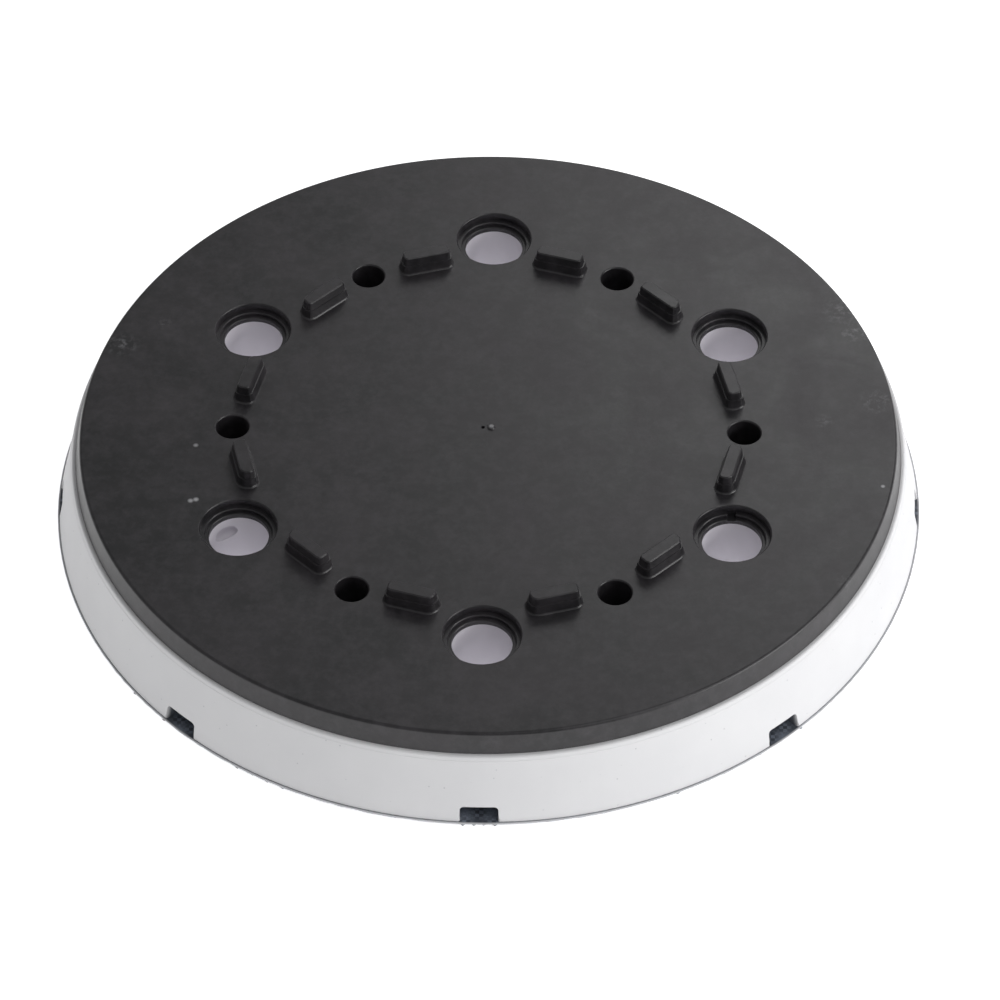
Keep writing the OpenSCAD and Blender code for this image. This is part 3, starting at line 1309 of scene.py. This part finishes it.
@dataclass
class HookSheet:
    """The hook sheet: its base cloth and the field of hooks under it."""

    sizes: PadSizes
    hole_clearance: float = 0.2
    cloth_edge: float = 0.05
    fray: float = 0.12
    fray_size: float = 0.9
    pitch: float = 1.72
    stem_r: float = 0.16
    root_share: float = 1.2
    tip_share: float = 0.45
    head_r: float = 0.42
    head_z: float = 0.15
    neck_z: float = 0.27
    lean: float = 0.12
    hook_sides: int = 4
    seed: int = 7
    crease: float = 40.0
    hook_crease: float = 60.0

    def build(self) -> None:
        """Builds and dresses the cloth, the hooks and the film above them."""
        self.cloth()
        self.hooks()
        film = WovenNylon(name="hot_melt_film_over_cloth", roughness=0.5, sheen=0.0,
                          relief=Relief(0.8, 0.1))
        dress(frame["nodes"]["adhesive_film"], film.build(self.sizes.sheet_r))

    def cloth(self) -> bpy.types.Object:
        """Turns the base cloth, cuts the ports in it and frays its edge.

        Returns:
            The finished base cloth.
        """
        s = self.sizes
        cloth = turned("base_cloth", [
            (s.sheet_r - self.cloth_edge, s.cloth_z),
            (s.sheet_r, (s.cloth_z + s.cloth_top) / 2),
            (s.sheet_r - self.cloth_edge, s.cloth_top),
        ], 360)
        radius = s.port_r + self.hole_clearance
        rings = [(radius, s.cloth_z - 1), (radius, s.cloth_top + 1)]
        shape_with(cloth, turned_at(s.port_places, "cloth_holes", rings, 96), Join.CUT)
        for vertex in cloth.data.vertices:
            if vertex.co.xy.length > s.sheet_r - 1:
                pull = (noise.noise(vertex.co / self.fray_size) - 0.5) * self.fray
                vertex.co.xy = vertex.co.xy * (1 + pull / s.sheet_r)
        hand_over(cloth, "hook_base_cloth", self.crease,
                  WovenNylon().build(s.sheet_r))
        return cloth

    def hooks(self) -> bpy.types.Object:
        """Fills the sheet with staggered rows of hooks.

        Returns:
            The finished field of hooks.
        """
        s = self.sizes
        row_gap = self.pitch * math.sqrt(3) / 2
        across = int(2 * s.sheet_r / self.pitch) + 2
        pairs = int(s.sheet_r / row_gap) + 2
        field = turned("hook_field", [
            (self.head_r * self.tip_share, 0.0),
            (self.head_r, self.head_z),
            (self.stem_r, self.neck_z),
            (self.stem_r * self.root_share, s.cloth_z),
        ], self.hook_sides)
        field.location = (-across * self.pitch / 2, -pairs * row_gap, 0)
        settle(field)
        for name, count, shift in (("row_pair", 2, (self.pitch / 2, row_gap, 0)),
                                   ("along", pairs, (0, 2 * row_gap, 0)),
                                   ("across", across, (self.pitch, 0, 0))):
            step = field.modifiers.new(name, "ARRAY")
            step.count = count
            step.use_relative_offset = False
            step.use_constant_offset = True
            step.constant_offset_displace = shift
            bpy.ops.object.modifier_apply(modifier=step.name)
        self.trim(field)
        hand_over(field, "hook_pile", self.hook_crease, HookNylon().build())
        return field

    def trim(self, field: bpy.types.Object) -> None:
        """Removes the hooks outside the sheet or over a port, and leans the rest.

        Args:
            field: The rectangular field, whose hooks all have as many vertices.
        """
        s = self.sizes
        rng = random.Random(self.seed)
        per_hook = 4 * self.hook_sides
        ports = [p.xy for p in s.port_places]
        port_edge = s.port_r + self.hole_clearance + self.head_r
        vertices = field.data.vertices
        for part in (*field.data.edges, *field.data.polygons):
            part.select = False
        for start in range(0, len(vertices), per_hook):
            hook = [vertices[i] for i in range(start, start + per_hook)]
            middle = sum((v.co.xy for v in hook), Vector((0, 0))) / per_hook
            gone = (middle.length > s.sheet_r - self.head_r
                    or any((middle - p).length < port_edge for p in ports))
            lean = Vector((rng.uniform(-1, 1), rng.uniform(-1, 1))) * self.lean
            for vertex in hook:
                vertex.select = gone
                vertex.co.xy = vertex.co.xy + lean * (1 - vertex.co.z / s.cloth_z)
        with shaping(field, pick_all=False):
            bpy.ops.mesh.select_mode(type="VERT")
            bpy.ops.mesh.delete(type="VERT")


# ---------------------------------------------------------------- the setting


@dataclass(frozen=True)
class Softbox:
    """A rectangular studio light, in metres and watts, aimed at the pad."""

    name: str
    place: tuple[float, float, float]
    width: float
    height: float
    power: float

    def build(self, aim: Vector) -> bpy.types.Object:
        """Adds the light.

        Args:
            aim: The place that the light faces, in metres.

        Returns:
            The light object.
        """
        data = bpy.data.lights.new(self.name, "AREA")
        data.shape = "RECTANGLE"
        data.size = self.width
        data.size_y = self.height
        data.energy = self.power
        light = bpy.data.objects.new(self.name, data)
        light.location = self.place
        light.rotation_euler = (aim - Vector(self.place)).to_track_quat("-Z", "Y").to_euler()
        bpy.context.collection.objects.link(light)
        return light


@dataclass
class Studio:
    """A pale floor, soft light and the camera, in metres."""

    sizes: PadSizes
    azimuth: float = 1.31
    elevation: float = 45.67
    roll: float = -0.24
    distance: float = 0.9075
    focal_length: float = 192.3
    aim_x: float = 0.00237
    aim_y: float = -0.01696
    sensor_width: float = 36.0
    floor_size: float = 6.0
    floor_gap: float = 0.00002
    paper: str = "#f7f7f8"
    paper_glow: float = 0.75
    room: str = "#f1f1f2"
    room_strength: float = 0.36
    softboxes: tuple[Softbox, ...] = (
        Softbox("key_softbox", (0.82, -0.28, 0.30), 0.6, 0.4, 3.9),
        Softbox("front_softbox", (0.42, -0.30, 0.92), 0.4, 0.3, 1.2),
        Softbox("back_softbox", (0.19, 0.50, 0.43), 0.40, 0.28, 0.8),
    )

    def build(self) -> None:
        """Adds the camera, the lights, the surroundings and the floor."""
        self.camera()
        for box in self.softboxes:
            box.build(Vector((0, 0, self.sizes.web_z * METRES)))
        self.surroundings()
        self.floor()
        bpy.context.scene.view_settings.view_transform = "Standard"

    def camera(self) -> bpy.types.Object:
        """Adds the camera and makes it the scene's.

        Returns:
            The camera object.
        """
        data = bpy.data.cameras.new("camera")
        data.sensor_width = self.sensor_width
        data.lens = self.focal_length
        data.clip_start = 0.05
        data.clip_end = 50.0
        a, e, roll = (math.radians(d) for d in (self.azimuth, self.elevation, self.roll))
        ahead = Vector((-math.sin(a) * math.cos(e), math.cos(a) * math.cos(e), -math.sin(e)))
        level = Vector((math.cos(a), math.sin(a), 0))
        upright = level.cross(ahead)
        right = level * math.cos(roll) + upright * math.sin(roll)
        up = upright * math.cos(roll) - level * math.sin(roll)
        aim = Vector((self.aim_x, self.aim_y, self.sizes.plate_top * METRES))
        camera = bpy.data.objects.new("camera", data)
        turn = Matrix((right, up, -ahead)).transposed().to_4x4()
        camera.matrix_world = Matrix.Translation(aim - ahead * self.distance) @ turn
        bpy.context.collection.objects.link(camera)
        bpy.context.scene.camera = camera
        return camera

    def surroundings(self) -> None:
        """Makes the room a plain soft grey."""
        world = bpy.data.worlds.new("studio")
        world.use_nodes = True
        background = world.node_tree.nodes["Background"]
        background.inputs["Color"].default_value = linear(self.room)
        background.inputs["Strength"].default_value = self.room_strength
        bpy.context.scene.world = world

    def floor(self) -> bpy.types.Object:
        """Adds the pale floor, just under the hooks' tips.

        Returns:
            The floor object.
        """
        floor = started("floor", bpy.ops.mesh.primitive_plane_add, size=self.floor_size,
                        location=(0, 0, -self.floor_gap))
        s = Shader("white_paper_sweep")
        s.fill(s.surface, {"Base Color": self.paper, "Roughness": 0.9,
                           "Specular IOR Level": 0.2, "Emission Color": "#ffffff",
                           "Emission Strength": self.paper_glow})
        dress(floor, s.material)
        return floor


def main() -> None:
    """Builds the studio and then every piece of the pad."""
    logging.basicConfig(level=logging.INFO, format="%(name)s: %(message)s")
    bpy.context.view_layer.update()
    sizes = PadSizes.from_frame()
    Studio(sizes).build()
    BackingPlate(sizes).build()
    FoamBody(sizes).build()
    HookSheet(sizes).build()


if __name__ == "__main__":
    main()
